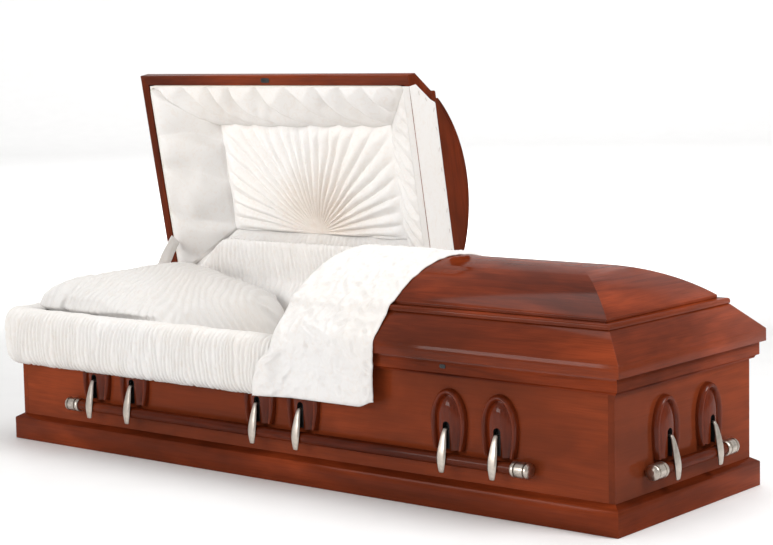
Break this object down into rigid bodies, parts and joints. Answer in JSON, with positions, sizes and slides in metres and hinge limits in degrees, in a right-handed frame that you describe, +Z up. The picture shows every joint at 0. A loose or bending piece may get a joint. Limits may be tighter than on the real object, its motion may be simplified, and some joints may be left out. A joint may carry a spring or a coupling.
{
  "type": "casket",
  "caption": "Half-couch wooden burial casket, head lid standing open over a crepe-lined interior, foot lid shut under a throw, swing carrying bars all round.",
  "frame": {"origin": "middle of the underside of the bottom board and base moulding", "axes": "+X towards the foot end, along the casket's length; +Y towards the hinged back; +Z up"},
  "size_m": [2.1774, 0.8871, 1.0556],
  "materials": {
    "wood": "gloss",
    "cloth": "crinkled crepe, matte with a soft sheen",
    "nickel": "satin, antiqued"
  },
  "bodies": {
    "casket": {"bottom_board": "wood", "front_panel": "wood", "back_panel": "wood", "head_panel": "wood", "foot_panel": "wood", "base_moulding": "wood", "top_moulding": "wood", "body_lining": "cloth", "bed": "cloth", "pillow": "cloth", "skirt": "cloth", "apron": "cloth", "stay_sleeve": "cloth", "front_lug_1": "wood", "front_lug_2": "wood", "front_lug_3": "wood", "front_lug_4": "wood", "front_lug_5": "wood", "front_lug_6": "wood", "back_lug_1": "wood", "back_lug_2": "wood", "back_lug_3": "wood", "back_lug_4": "wood", "back_lug_5": "wood", "back_lug_6": "wood", "foot_lug_1": "wood", "foot_lug_2": "wood", "head_lug_1": "wood", "head_lug_2": "wood"},
    "head_lid": {"head_lid_rim": "wood", "head_lid_bead": "wood", "head_lid_crown": "wood", "head_lid_cut_board": "wood", "head_lid_lining": "cloth"},
    "foot_lid": {"foot_lid_rim": "wood", "foot_lid_bead": "wood", "foot_lid_crown": "wood", "foot_lid_cut_board": "wood", "foot_lid_lining": "cloth", "throw": "cloth"},
    "front_carrier": {"front_arm_1": "nickel", "front_arm_2": "nickel", "front_arm_3": "nickel", "front_arm_4": "nickel", "front_arm_5": "nickel", "front_arm_6": "nickel", "front_bar": "wood"},
    "back_carrier": {"back_arm_1": "nickel", "back_arm_2": "nickel", "back_arm_3": "nickel", "back_arm_4": "nickel", "back_arm_5": "nickel", "back_arm_6": "nickel", "back_bar": "wood"},
    "foot_carrier": {"foot_arm_1": "nickel", "foot_arm_2": "nickel", "foot_bar": "wood"},
    "head_carrier": {"head_arm_1": "nickel", "head_arm_2": "nickel", "head_bar": "wood"}
  },
  "joints": [
    {"name": "head_lid_hinge", "type": "hinge", "parent": "casket", "child": "head_lid", "pos_m": [-0.5, 0.344, 0.3725], "axis": [1, 0, 0], "range_deg": [0, 79.8], "deforming": ["skirt", "apron", "stay_sleeve", "pillow"]},
    {"name": "foot_lid_hinge", "type": "hinge", "parent": "casket", "child": "foot_lid", "pos_m": [0.5, 0.344, 0.3725], "axis": [-1, 0, 0], "range_deg": [0, 80]},
    {"name": "front_bar_swing", "type": "hinge", "parent": "casket", "child": "front_carrier", "pos_m": [0, -0.3215, 0.201], "axis": [-1, 0, 0], "range_deg": [0, 80]},
    {"name": "back_bar_swing", "type": "hinge", "parent": "casket", "child": "back_carrier", "pos_m": [0, 0.3215, 0.201], "axis": [1, 0, 0], "range_deg": [0, 80]},
    {"name": "foot_bar_swing", "type": "hinge", "parent": "casket", "child": "foot_carrier", "pos_m": [1.044, 0, 0.201], "axis": [0, -1, 0], "range_deg": [0, 80]},
    {"name": "head_bar_swing", "type": "hinge", "parent": "casket", "child": "head_carrier", "pos_m": [-1.044, 0, 0.201], "axis": [0, 1, 0], "range_deg": [0, 80]}
  ]
}
